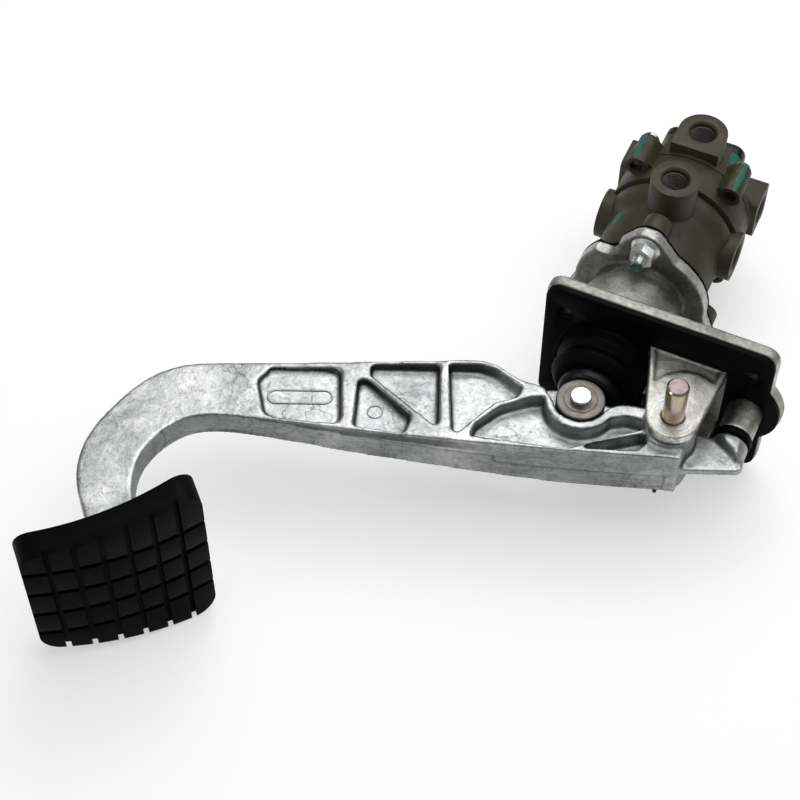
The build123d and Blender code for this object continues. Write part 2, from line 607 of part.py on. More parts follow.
# Primary piston with its sealing ring, control spring and return spring
piston_end = PRIMARY_PISTON_Y + PRIMARY_PISTON_T
low_seat = PRIMARY_FLOOR_Y + SEAT_WALL
high_seat = SPLIT_Y + SEAT_WALL
stem_end = low_seat - PISTON_STROKE
groove_y = PRIMARY_PISTON_Y + PISTON_GROOVE
piston_r = PRIMARY_BORE_R - SLIDE_GAP
piston = turned([(0, PRIMARY_PISTON_Y), (piston_r, PRIMARY_PISTON_Y), (piston_r, groove_y - RING_R),
                 (piston_r - 2 * RING_R, groove_y - RING_R), (piston_r - 2 * RING_R, groove_y + RING_R),
                 (piston_r, groove_y + RING_R), (piston_r, piston_end), (piston_r - PISTON_RIM, piston_end),
                 (piston_r - PISTON_RIM, piston_end - PISTON_CUP), (PISTON_STEM_R, piston_end - PISTON_CUP),
                 (PISTON_STEM_R, stem_end), (0, stem_end)])
save(piston, "primary_piston")
ring_mid = piston_r - RING_R
save(Pos(0, groove_y, VALVE_Z) * Rot(90, 0, 0) * Torus(ring_mid, RING_R), "primary_piston_ring")
control_low = PLUNGER_SEAT_Y + SPRING_ROOM
save(coil(CONTROL_COIL_R, CONTROL_WIRE_R, control_low, PRIMARY_PISTON_Y, 3), "control_spring")
return_top = piston_end - PISTON_CUP + PISTON_STROKE + BOLT_GAP
save(coil(RETURN_COIL_R, RETURN_WIRE_R, return_top, PRIMARY_FLOOR_Y, 2), "primary_return_spring")

# Relay piston and its ring
relay_end = RELAY_PISTON_Y + RELAY_PISTON_T
relay_r = RELAY_BORE_R - SLIDE_GAP
relay_groove = RELAY_PISTON_Y + RELAY_GROOVE
relay_in = relay_r - 2 * RING_R
relay = turned([(STEM_BORE_R, RELAY_PISTON_Y), (relay_r, RELAY_PISTON_Y), (relay_r, relay_groove - RING_R),
                (relay_in, relay_groove - RING_R), (relay_in, relay_groove + RING_R),
                (relay_r, relay_groove + RING_R), (relay_r, relay_end), (PISTON_STEM_R, relay_end),
                (PISTON_STEM_R, high_seat - RELAY_STROKE), (STEM_BORE_R, high_seat - RELAY_STROKE)])
save(relay, "relay_piston")
save(Pos(0, relay_groove, VALVE_Z) * Rot(90, 0, 0) * Torus(relay_r - RING_R, RING_R), "relay_piston_ring")


def inlet_valve(seat_y, length):
    """Rubber faced valve disc on a hollow stem, closed against its seat."""
    y0 = seat_y + SEAT_GAP
    disc_y = y0 + VALVE_DISC_T
    end_y = y0 + length
    return turned([(STEM_BORE_R, y0), (VALVE_DISC_R, y0), (VALVE_DISC_R, disc_y), (VALVE_STEM_R, disc_y),
                   (VALVE_STEM_R, end_y), (STEM_BORE_R, end_y)])


save(inlet_valve(low_seat, VALVE_LEN), "primary_inlet_valve")
save(inlet_valve(high_seat, VALVE_LEN), "secondary_inlet_valve")


def valve_retainer(seat_y, wall_r):
    """Disc that guides the valve's stem and closes the chamber."""
    y1 = seat_y + SEAT_GAP + VALVE_LEN
    y0 = y1 - RETAINER_T
    hole_r = VALVE_STEM_R + 0.03
    rim_r = wall_r - 0.02
    return turned([(hole_r, y0), (rim_r, y0), (rim_r, y1), (hole_r, y1)])


save(valve_retainer(low_seat, CHAMBER_R), "primary_valve_retainer")
save(valve_retainer(high_seat, UPPER_CHAMBER_R), "secondary_valve_retainer")
spring_low = low_seat + SEAT_GAP + VALVE_DISC_T
spring_high = high_seat + SEAT_GAP + VALVE_DISC_T
spring_len = VALVE_LEN - VALVE_DISC_T - RETAINER_T
save(coil(VALVE_COIL_R, VALVE_WIRE_R, spring_low, spring_low + spring_len, 3), "primary_valve_spring")
save(coil(VALVE_COIL_R, VALVE_WIRE_R, spring_high, spring_high + spring_len, 3), "secondary_valve_spring")

# Pedal arm
arm_back = Spline((-250.4, -213.2), (-270.9, -181.8), (-284.4, -166.4), (-291.9, -151.0),
                  (-294.8, -133.3), (-292.6, -114.8), (-287.4, -95.3), (-281.0, -82.4), (-272.6, -72.6),
                  (-259.0, -63.6), (-235.9, -52.6))
arm_crest = Spline((-121.0, -1.0), (-112.5, 1.7), (-105.0, 1.6), (-97.7, -0.6), (-90.5, -2.4),
                   (-83.0, -2.6), (-77.0, -2.4), (-71.5, -5.4), tangents=((1.0, 0.42), (0.62, -0.78)))
saddle_u = ROLLER_Z - FUL_Z
saddle_v = ROLLER_Y - FUL_Y


def saddle_point(angle, radius):
    a = math.radians(angle)
    return (saddle_u + radius * math.cos(a), saddle_v + radius * math.sin(a))


s0 = saddle_point(205, SADDLE_R)
s1 = saddle_point(-90, SADDLE_R)
s2 = saddle_point(-8, SADDLE_R)
arm_saddle = ThreePointArc(s0, s1, s2)
arm_hip = Spline(s2, (-33.2, 1.3), (-28.0, 4.4), (-20.6, 6.2), (-13.0, 8.4))
arm_end = Polyline((-13.0, 8.4), (-6.0, 11.0), (8.0, 11.0), (12.3, 2.0), (12.3, -18.6))
arm_under = Polyline((12.3, -18.6), (6.5, -19.8), (-19.1, -29.1), (-50.1, -39.8), (-71.1, -46.5),
                     (-95.0, -53.7), (-135.3, -65.3), (-164.1, -73.5), (-190.3, -79.8), (-214.5, -86.5))
arm_hook = Spline((-214.5, -86.5), (-226.0, -89.8), (-236.9, -93.8), (-245.6, -98.6), (-252.7, -105.6),
                  (-258.1, -115.6), (-260.9, -125.8), (-261.5, -136.7), (-259.4, -146.1),
                  (-255.5, -155.2), (-250.5, -163.6), (-231.3, -194.2))
arm_edges = [arm_back, Line(arm_back @ 1, (-121.0, -1.0)), arm_crest, Line(arm_crest @ 1, s0), arm_saddle,
             arm_hip, arm_end, arm_under, arm_hook, Line(arm_hook @ 1, (-250.4, -213.2))]
arm_flat = make_face(Curve() + arm_edges)


def arm_slab(face, x0, x1):
    """Extrudes a (z, y) outline of the arm from x0 to x1."""
    plane = Plane(origin=(x1, FUL_Y, FUL_Z), x_dir=(0, 0, 1), z_dir=(-1, 0, 0))
    return extrude(plane * face, amount=x1 - x0, dir=(-1, 0, 0))


arm = arm_slab(arm_flat, -30, 30)
taper = Polyline((-320, ARM_THIN_HALF), (ARM_THIN_Z, ARM_THIN_HALF), (ARM_THICK_Z, ARM_THICK_HALF),
                 (40, ARM_THICK_HALF), (40, -ARM_THICK_HALF), (ARM_THICK_Z, -ARM_THICK_HALF),
                 (ARM_THIN_Z, -ARM_THIN_HALF), (-320, -ARM_THIN_HALF), close=True)
taper_plane = Plane(origin=(0, FUL_Y - 320, FUL_Z), x_dir=(0, 0, 1), z_dir=(0, 1, 0))
arm &= extrude(taper_plane * make_face(taper), amount=420, dir=(0, 1, 0))


def pocket_tool(face):
    """Cutter for one side of the arm's web, with its floor edge rounded."""
    tool = arm_slab(face, WEB_HALF, ARM_REACH)
    floor_edges = tool.faces().sort_by(Axis.X)[0].edges()
    return fillet(floor_edges, POCKET_FLOOR_R)


POCKETS = [
    ([(-223.0, -50.6), (-186.5, -35.2), (-169.0, -71.0), (-204.7, -82.0), (-213.0, -80.8),
      (-226.5, -62.0)], 5.0),
    ([(-174.5, -36.8), (-168.0, -36.9), (-135.5, -50.5), (-134.5, -63.5), (-162.5, -69.5)], 3.2),
    ([(-171.4, -26.0), (-135.6, -10.6), (-118.0, -51.5), (-123.0, -50.5), (-169.0, -33.0)], 2.2),
    ([(-130.8, -8.3), (-114.3, -1.6), (-104.0, -1.4), (-94.0, -4.6), (-85.8, -8.0), (-86.6, -15.8),
      (-96.0, -23.4), (-106.8, -50.6), (-111.0, -49.6)], 1.8),
]
for points, radius in POCKETS:
    pocket = pocket_tool(rounded(points, radius))
    arm -= pocket
    arm -= mirror(pocket, about=Plane.YZ)

# Pocket under the saddle, following the rib round the rollers
rib_r = SADDLE_R + 5.0
r0 = saddle_point(196, rib_r)
r1 = saddle_point(-90, rib_r)
r2 = saddle_point(-14, rib_r)
under_saddle = [Polyline((-100.0, -50.0), (-100.6, -41.5), (-92.5, -25.0), (-79.0, -12.0), r0),
                ThreePointArc(r0, r1, r2),
                Polyline(r2, (-24.5, -2.4), (-14.5, -1.5), (-12.6, -7.0), (-41.5, -31.5), (-47.0, -37.4),
                         (-100.0, -50.0))]
under_face = make_face(Curve() + under_saddle)
wedge = rounded([(-43.5, -34.8), (-37.0, -28.4), (-11.6, -9.6), (-8.6, -15.0), (-11.5, -22.4)], 1.4)
for face in (under_face, wedge):
    pocket = arm_slab(face, WEB_HALF, ARM_REACH)
    arm -= pocket
    arm -= mirror(pocket, about=Plane.YZ)

# Middle web that stands between the two rollers
web_top = [(-78.0, -6.0), (-75.5, 2.5), (-70.0, 5.4), (-50.0, 7.2), (-34.0, 7.6), (-26.0, 8.6),
           (-12.0, 9.0), (-12.0, -10.0), (-50.0, -22.0), (-78.0, -14.0)]
arm += arm_slab(make_face(Polyline(*web_top, close=True)), -WEB_HALF, WEB_HALF)

# Hub, tail and the round button that meets the bumper
arm += cyl_x(HUB_R, -HUB_HALF_X, HUB_HALF_X, FUL_Y, FUL_Z)
tail = [(0.0, -20.0), (14.3, -14.7), (42.2, -2.6), (44.0, 0.0), (42.6, 8.0), (22.0, 12.6), (10.0, 12.0),
        (0.0, 10.0)]
arm += arm_slab(make_face(Polyline(*tail, close=True)), -TAIL_HALF, TAIL_HALF)
button_y = BUMPER_END_Y - SEAT_GAP
button_low = STOP_Z - TAIL_BUTTON_R
button_top = STOP_Z + TAIL_BUTTON_R
wedge_side = Polyline((button_y, button_low), (button_y, button_top), (button_y - BUTTON_THICK, button_top),
                      (button_y - BUTTON_THIN, button_low), close=True)
button = cyl_y(TAIL_BUTTON_R, button_y - 2 * BUTTON_THICK, button_y, 0, STOP_Z)
arm += button & slab_x(make_face(wedge_side), -TAIL_BUTTON_R, TAIL_BUTTON_R)

# Foot plate inside the rubber pad
pad_a = math.radians(PAD_TILT_DEG)
pad_plane = Plane(origin=(0, FUL_Y + PAD_BACK_V, FUL_Z + PAD_BACK_U), x_dir=(1, 0, 0),
                  z_dir=(0, -math.cos(pad_a), math.sin(pad_a)))


def pad_curve(r0, r1):
    """Curved slab between two radii, whose axis lies across the pad behind it."""
    centre = pad_plane * Pos(0, 0, -math.sqrt(PAD_BACK_R ** 2 - (PAD_LENGTH / 2) ** 2))
    outer = centre * Rot(0, 90, 0) * Cylinder(r1, PAD_SPAN)
    inner = centre * Rot(0, 90, 0) * Cylinder(r0, PAD_SPAN + 10)
    return outer - inner


def pad_prism(inset, n0, n1):
    """Pad outline, narrow at its low end, run along the pad's normal."""
    low = PAD_LOW_HALF - inset
    top = PAD_TOP_HALF - inset
    half = PAD_LENGTH / 2 - inset
    face = rounded([(-low, -half), (low, -half), (top, half), (-top, half)], max(PAD_CORNER_R - inset, 1.5))
    return extrude(pad_plane * Pos(0, 0, n0) * face, amount=n1 - n0, dir=pad_plane.z_dir)


foot_back = PAD_BACK_R + FOOT_LIP
foot_front = foot_back + FOOT_T
arm += pad_curve(foot_back, foot_front) & pad_prism(FOOT_INSET, -PAD_DROP, PAD_REACH)
arm -= cyl_x(BUSH_R, -HUB_HALF_X - 1, HUB_HALF_X + 1, FUL_Y, FUL_Z)
arm -= cyl_x(ROLLER_PIN_R + 0.02, -ARM_REACH, ARM_REACH, ROLLER_Y, ROLLER_Z)
save(arm, "pedal_arm")

# Rubber pad, hollowed for the foot plate, with blocks on its face
pad = pad_curve(PAD_BACK_R, PAD_BACK_R + PAD_T) & pad_prism(0, -PAD_DROP, PAD_REACH)
hollow = pad_curve(foot_back - PAD_GAP, foot_front + PAD_GAP)
ahead_of_foot = pad_curve(foot_front, PAD_BACK_R + PAD_REACH)
pad -= hollow & pad_prism(FOOT_INSET - PAD_GAP, -PAD_DROP, PAD_REACH)
neck_front = [arm_hook @ (1 - NECK_SHARE * i / NECK_STEPS) for i in range(NECK_STEPS + 1)]
neck_back = [arm_back @ (NECK_SHARE * i / NECK_STEPS) for i in range(NECK_STEPS + 1)]
neck = make_face(Polyline(*reversed(neck_front), *neck_back, close=True))
neck_half = ARM_THIN_HALF + NECK_GAP
pad -= arm_slab(offset(neck, amount=NECK_GAP), -neck_half, neck_half) - ahead_of_foot
face_r = PAD_BACK_R + PAD_T
groove_shell = pad_curve(face_r - PAD_GROOVE_DEPTH, face_r + 5)
column_pitch = PAD_LENGTH / PAD_COLUMNS
for i in range(1, PAD_COLUMNS):
    s = -PAD_LENGTH / 2 + i * column_pitch
    pad -= groove_shell & (pad_plane * Pos(0, s, PAD_DROP) * Box(PAD_SPAN, PAD_GROOVE, PAD_REACH))
for k in (-1.5, -0.5, 0.5, 1.5):
    row = pad_plane * Pos(k * PAD_ROW_PITCH, 0, PAD_DROP) * Box(PAD_ROW_GROOVE, PAD_SPAN, PAD_REACH)
    pad -= groove_shell & row
save(pad, "pedal_pad")

# Hub bushes with flanges that run between the arm and the ears
bush_out = HUB_HALF_X + BUSH_FLANGE_T
bushes = []
for side in (-1, 1):
    x0 = 2.0
    body = cyl_x(BUSH_R - 0.02, x0, HUB_HALF_X + 0.5, FUL_Y, FUL_Z)
    body += cyl_x(BUSH_FLANGE_R, HUB_HALF_X, bush_out, FUL_Y, FUL_Z)
    body -= cyl_x(PIN_R + RUN_GAP, 0, bush_out + 1, FUL_Y, FUL_Z)
    bushes.append(body if side > 0 else mirror(body, about=Plane.YZ))
save(group(bushes), "hub_bushes")

# Roller pin, its two bushes and the two rollers
roller_in = WEB_HALF + ROLLER_SIDE_GAP
roller_out = ARM_THICK_HALF
pin_end = roller_out + ROLLER_PIN_PROUD
roller_pin = cyl_x(ROLLER_PIN_R, -pin_end, pin_end, ROLLER_Y, ROLLER_Z)
roller_pin = fillet(roller_pin.edges().filter_by(GeomType.CIRCLE), 0.9)
save(roller_pin, "roller_pin")
roller_bushes = []
for side in (-1, 1):
    body = cyl_x(ROLLER_BUSH_R, WEB_HALF, roller_out, ROLLER_Y, ROLLER_Z)
    body -= cyl_x(ROLLER_PIN_R + 0.02, 0, ARM_REACH, ROLLER_Y, ROLLER_Z)
    roller_bushes.append(body if side > 0 else mirror(body, about=Plane.YZ))
save(group(roller_bushes), "roller_bushes")
roller = cyl_x(ROLLER_R, roller_in, roller_out, ROLLER_Y, ROLLER_Z)
roller = chamfer(roller.edges().filter_by(GeomType.CIRCLE), 0.6)
roller -= cyl_x(ROLLER_BUSH_R + RUN_GAP, 0, ARM_REACH, ROLLER_Y, ROLLER_Z)
save(roller, "far_roller")
save(mirror(roller, about=Plane.YZ), "near_roller")
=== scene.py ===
import json
import math

import bpy
from mathutils import Matrix, Vector

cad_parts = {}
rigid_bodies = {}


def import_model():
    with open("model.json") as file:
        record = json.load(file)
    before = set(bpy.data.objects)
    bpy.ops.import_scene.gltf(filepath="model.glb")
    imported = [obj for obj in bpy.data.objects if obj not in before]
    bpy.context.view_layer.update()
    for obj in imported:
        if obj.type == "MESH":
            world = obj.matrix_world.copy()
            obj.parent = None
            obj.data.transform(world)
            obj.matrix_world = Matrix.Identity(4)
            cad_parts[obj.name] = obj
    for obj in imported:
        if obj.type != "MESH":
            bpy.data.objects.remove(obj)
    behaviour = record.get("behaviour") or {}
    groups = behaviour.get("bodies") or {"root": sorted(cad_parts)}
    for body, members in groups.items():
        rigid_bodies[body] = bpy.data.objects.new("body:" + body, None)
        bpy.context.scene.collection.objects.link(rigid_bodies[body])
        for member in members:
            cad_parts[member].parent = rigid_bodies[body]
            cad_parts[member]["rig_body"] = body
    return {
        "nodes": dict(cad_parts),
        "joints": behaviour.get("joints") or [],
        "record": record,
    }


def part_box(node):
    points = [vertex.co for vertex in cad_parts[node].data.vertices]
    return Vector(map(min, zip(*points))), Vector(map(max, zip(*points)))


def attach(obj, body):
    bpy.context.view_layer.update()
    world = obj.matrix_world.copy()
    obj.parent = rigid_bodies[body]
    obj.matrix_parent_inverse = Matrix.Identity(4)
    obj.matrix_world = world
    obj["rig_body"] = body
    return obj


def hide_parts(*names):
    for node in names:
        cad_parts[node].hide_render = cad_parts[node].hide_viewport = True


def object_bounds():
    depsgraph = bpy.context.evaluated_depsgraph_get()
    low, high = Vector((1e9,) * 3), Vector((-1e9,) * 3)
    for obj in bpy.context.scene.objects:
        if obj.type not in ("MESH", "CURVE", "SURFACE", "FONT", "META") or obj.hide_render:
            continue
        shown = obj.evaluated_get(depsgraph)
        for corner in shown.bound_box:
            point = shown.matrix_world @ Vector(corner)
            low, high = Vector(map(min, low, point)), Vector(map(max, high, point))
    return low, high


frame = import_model()
cad_low, cad_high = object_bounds()
scene = bpy.context.scene
MM = 0.001

# Places shared with the CAD model, in metres
PORTS = {mount["name"]: mount for mount in frame["record"]["mounts"] if mount["kind"] == "threaded_hole"}
SLOT_OF = {row["node"]: row["material_slot"] for row in frame["record"]["subparts"]}
STUD_LOW, STUD_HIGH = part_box("adapter_studs")
NUT_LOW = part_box("flange_nuts")[0]
PIN_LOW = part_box("fulcrum_pin")[0]
VALVE_Z = PORTS["near_lower_port"]["pos_m"][2]
FULCRUM = frame["joints"][0]["pos_m"]
BOLTS = next(mount for mount in frame["record"]["mounts"] if mount["kind"] == "bolt_pattern")["dims"]
BOLT_HOLES = [(sx * BOLTS["spacing_x_mm"] / 2 * MM, 0.0, sz * BOLTS["spacing_y_mm"] / 2 * MM)
              for sx in (-1, 1) for sz in (-1, 1)]

# The bracket: the flange's face towards the plate, the plate's border, and a little behind the plate
FLANGE_BACK_Y = 54.0 * MM
PLATE_BORDER_X = 46.0 * MM
BEHIND_PLATE_Y = 18.0 * MM

# Half size of the zone of painted shade round each bolt hole
HOLE_SHADE_REACH = (5.7 * MM, 40 * MM, 5.7 * MM)

# The three studs stand on a circle round the valve's axis
STUD_R = 4.0 * MM
STUD_CIRCLE_R = 42.0 * MM
STUD_ANGLES = (90, 210, 330)

# Pockets in the pedal arm: the web's face and marks cast on it
WEB_X = -5.5 * MM
CARTOUCHE_MIDDLE = (-100.7 * MM, -176.1 * MM)
CARTOUCHE_TURN = math.atan2(33.3, 14.7)
CARTOUCHE_HALF = 18.2 * MM
CARTOUCHE_END_R = 4.6 * MM
CARTOUCHE_RIDGE = 0.7 * MM
EJECTOR_MARK = (-92.4 * MM, -132.9 * MM)
EJECTOR_R = 4.3 * MM
EJECTOR_RIDGE = 0.45 * MM

# Mould seam on the arm's underside, as (z, x) at its two ends before it steps, in metres
SEAM_LEFT = (-0.190, -0.0080)
SEAM_RIGHT = (-0.075, -0.0028)
SEAM_STEP_Z = -0.060
SEAM_HUB_X = 2.5 * MM
SEAM_END_Z = 0.030
SEAM_STEP = 1.3 * MM
FLASH_HEIGHT = 0.7 * MM
FLASH_HALF = 0.6 * MM

# Size of the cells in the skins of the arm and the bracket
ARM_GRAIN = 1.08 * MM
BRACKET_GRAIN = 1.0 * MM

# Side face of the arm: half its thickness at the thick end, and how it slants towards the pad
ARM_ROOT_Z = -28 * MM
ARM_ROOT_HALF = 16.5 * MM
ARM_SLANT = 7.5 / 170

# Name of the colour attribute that holds painted shade in hollows and painted highlights on edges
SHADE_AND_HIGHLIGHT_ATTRIBUTE = "hollow_shade_edge_highlight"


def grey(tone):
    """A neutral colour."""
    return (tone, tone, tone)


def deselect():
    bpy.ops.object.select_all(action="DESELECT")


def activate(piece):
    deselect()
    piece.select_set(True)
    bpy.context.view_layer.objects.active = piece


def apply_place(piece):
    activate(piece)
    bpy.ops.object.transform_apply(location=True, rotation=True, scale=True)


def apply_modifier(piece, kind, **settings):
    modifier = piece.modifiers.new(kind.lower(), kind)
    for name, value in settings.items():
        setattr(modifier, name, value)
    activate(piece)
    bpy.ops.object.modifier_apply(modifier=modifier.name)


def twin(piece, name):
    """A copy of a piece with its own mesh."""
    activate(piece)
    bpy.ops.object.duplicate()
    copy = bpy.context.object
    copy.name = name
    return copy


deselect()

# Camera, standing where the photograph was taken
CAMERA_PLACE = (-0.8964, -0.6750, 0.1519)
CAMERA_RIGHT = Vector((0.0, 0.4195, 0.9078))
CAMERA_UP = Vector((-0.5934, 0.7307, -0.3376))
CAMERA_LENS = 87.75

bpy.ops.object.camera_add()
camera = bpy.context.object
camera.name = "camera"
camera.data.lens = CAMERA_LENS
camera.data.sensor_width = 36.0
camera.data.clip_start = 0.01
camera.data.clip_end = 50.0
scene.camera = camera
right = CAMERA_RIGHT.normalized()
back = right.cross(CAMERA_UP).normalized()
up = back.cross(right)
camera.matrix_world = Matrix.Translation(CAMERA_PLACE) @ Matrix((right, up, back)).transposed().to_4x4()


class Finish:
    """One material and short ways to build its pattern."""

    def __init__(self, name, colour, rough, metal=0.0, specular=0.5):
        self.material = bpy.data.materials.new(name)
        self.material.use_nodes = True
        self.nodes = self.material.node_tree.nodes
        self.links = self.material.node_tree.links
        self.surface = self.nodes["Principled BSDF"]
        self.surface.inputs["Base Color"].default_value = (*colour, 1)
        self.surface.inputs["Roughness"].default_value = rough
        self.surface.inputs["Metallic"].default_value = metal
        self.surface.inputs["Specular IOR Level"].default_value = specular
        self.place = self.nodes.new("ShaderNodeTexCoord").outputs["Object"]

    def put(self, value, socket):
        if isinstance(value, (int, float)):
            socket.default_value = value
        elif isinstance(value, tuple):
            socket.default_value = (*value, 1) if socket.type == "RGBA" else value
        else:
            self.links.new(value, socket)

    def noise(self, scale, detail=4.0, rough=0.55, distort=0.0, at=None):
        node = self.nodes.new("ShaderNodeTexNoise")
        node.inputs["Scale"].default_value = scale
        node.inputs["Detail"].default_value = detail
        node.inputs["Roughness"].default_value = rough
        node.inputs["Distortion"].default_value = distort
        self.links.new(at or self.place, node.inputs["Vector"])
        return node.outputs["Fac"]

    def mapped(self, scale=(1, 1, 1), turn=(0, 0, 0), shift=(0, 0, 0)):
        node = self.nodes.new("ShaderNodeMapping")
        node.inputs["Scale"].default_value = scale
        node.inputs["Rotation"].default_value = turn
        node.inputs["Location"].default_value = shift
        self.links.new(self.place, node.inputs["Vector"])
        return node.outputs["Vector"]

    def veins(self, scale, warp):
        """Distance to the edges of warped cells: small along each vein."""
        drift = self.nodes.new("ShaderNodeTexNoise")
        drift.inputs["Scale"].default_value = scale * 1.7
        drift.inputs["Detail"].default_value = 4.0
        self.links.new(self.place, drift.inputs["Vector"])
        add = self.nodes.new("ShaderNodeVectorMath")
        add.operation = "MULTIPLY_ADD"
        add.inputs[1].default_value = (warp, warp, warp)
        self.links.new(drift.outputs["Color"], add.inputs[0])
        self.links.new(self.place, add.inputs[2])
        cells = self.nodes.new("ShaderNodeTexVoronoi")
        cells.feature = "DISTANCE_TO_EDGE"
        cells.inputs["Scale"].default_value = scale
        self.links.new(add.outputs["Vector"], cells.inputs["Vector"])
        return cells.outputs["Distance"]

    def span(self, value, low, high, to_low=0.0, to_high=1.0):
        """Straight step from one value to another, held at both ends."""
        node = self.nodes.new("ShaderNodeMapRange")
        self.put(value, node.inputs["Value"])
        node.inputs["From Min"].default_value = low
        node.inputs["From Max"].default_value = high
        node.inputs["To Min"].default_value = to_low
        node.inputs["To Max"].default_value = to_high
        return node.outputs["Result"]

    def ramp(self, factor, *stops):
        node = self.nodes.new("ShaderNodeValToRGB")
        while len(node.color_ramp.elements) < len(stops):
            node.color_ramp.elements.new(0.5)
        for element, (position, colour) in zip(node.color_ramp.elements, stops):
            element.position = position
            element.color = (*colour, 1)
        self.links.new(factor, node.inputs["Fac"])
        return node.outputs["Color"]

    def mix(self, factor, first, second, blend="MIX"):
        node = self.nodes.new("ShaderNodeMix")
        node.data_type = "RGBA"
        node.blend_type = blend
        self.put(factor, node.inputs[0])
        self.put(first, node.inputs[6])
        self.put(second, node.inputs[7])
        return node.outputs[2]

    def math(self, operation, first, second=0.0):
        node = self.nodes.new("ShaderNodeMath")
        node.operation = operation
        self.put(first, node.inputs[0])
        self.put(second, node.inputs[1])
        return node.outputs[0]

    def length(self, vector):
        node = self.nodes.new("ShaderNodeVectorMath")
        node.operation = "LENGTH"
        self.links.new(vector, node.inputs[0])
        return node.outputs["Value"]

    def axis(self, letter):
        node = self.nodes.new("ShaderNodeSeparateXYZ")
        self.links.new(self.place, node.inputs[0])
        return node.outputs[letter]

    def daub(self, middle, size, ragged):
        """1 inside a ragged ellipsoid, 0 outside: a brush stroke on whatever surface passes through it."""
        unit = self.mapped(scale=tuple(1 / s for s in size),
                           shift=tuple(-m / s for m, s in zip(middle, size)))
        edge = self.math("ADD", self.length(unit), ragged)
        return self.span(edge, 1.0, 1.12, 1.0, 0.0)

    def attribute(self, name):
        node = self.nodes.new("ShaderNodeVertexColor")
        node.layer_name = name
        return node.outputs["Color"]

    def rings(self, centre, inner, outer):
        """Fine rings round an axis along X, and where they show: a broken band between two radii."""
        shift = self.mapped(shift=tuple(-c for c in centre))
        flat = self.nodes.new("ShaderNodeVectorMath")
        flat.operation = "MULTIPLY"
        flat.inputs[1].default_value = (0, 1, 1)
        self.links.new(shift, flat.inputs[0])
        radius = self.length(flat.outputs["Vector"])
        along = self.nodes.new("ShaderNodeCombineXYZ")
        self.links.new(radius, along.inputs["X"])
        lines = self.span(self.noise(1900, 3, 0.6, at=along.outputs["Vector"]), 0.48, 0.62)
        band = self.math("MULTIPLY", self.span(radius, inner, inner * 1.1),
                         self.span(radius, outer * 0.9, outer, 1.0, 0.0))
        broken = self.span(self.noise(110, 3, 0.6, at=self.mapped(shift=(0.3, 0.1, 0.2))), 0.44, 0.56)
        return lines, self.math("MULTIPLY", band, broken)

    def colour(self, value):
        self.put(value, self.surface.inputs["Base Color"])

    def gloss(self, value):
        self.put(value, self.surface.inputs["Roughness"])

    def bumps(self, *layers):
        """Each layer is a height, its strength and its distance in metres."""
        normal = None
        for height, strength, distance in layers:
            node = self.nodes.new("ShaderNodeBump")
            node.inputs["Strength"].default_value = strength
            node.inputs["Distance"].default_value = distance
            self.links.new(height, node.inputs["Height"])
            if normal is not None:
                self.links.new(normal, node.inputs["Normal"])
            normal = node.outputs["Normal"]
        self.links.new(normal, self.surface.inputs["Normal"])


def painted_shade_on_arm(f):
    """Painted shade on the walls between the arm's near side face, which slants, and its web; none near the
    hub.
    """
    slant = f.math("MULTIPLY", f.math("SUBTRACT", f.axis("Z"), ARM_ROOT_Z), ARM_SLANT)
    depth = f.math("ADD", f.math("ADD", f.axis("X"), ARM_ROOT_HALF), slant)
    above_web = f.span(f.axis("X"), WEB_X - 0.9 * MM, WEB_X - 0.4 * MM, 1.0, 0.0)
    walls = f.math("MULTIPLY", f.span(depth, 0.6 * MM, 2.0 * MM), above_web)
    strength = f.span(f.axis("Z"), SEAM_STEP_Z - 30 * MM, SEAM_STEP_Z, 0.7, 0.0)
    return f.math("MULTIPLY", walls, strength)


def painted_shade_and_dark_border_on_bracket(f):
    """Painted shade towards the flange and on its back, up to the edge of its rim; the plate's border is
    darker.
    """
    towards_flange = f.span(f.axis("Y"), FLANGE_BACK_Y - 18 * MM, FLANGE_BACK_Y - 2 * MM, 0.0, 0.62)
    below_rim = f.span(f.axis("Y"), FLANGE_BACK_Y + 0.4 * MM, FLANGE_BACK_Y + 1.4 * MM, 1.0, 0.0)
    back = f.math("MULTIPLY", towards_flange, below_rim)
    across = f.math("ABSOLUTE", f.axis("X"))
    border = f.span(across, PLATE_BORDER_X - 1.5 * MM, PLATE_BORDER_X, 0.0, 0.45)
    plate = f.span(f.axis("Y"), BEHIND_PLATE_Y - 4 * MM, BEHIND_PLATE_Y, 1.0, 0.0)
    return f.math("MAXIMUM", back, f.math("MULTIPLY", border, plate))


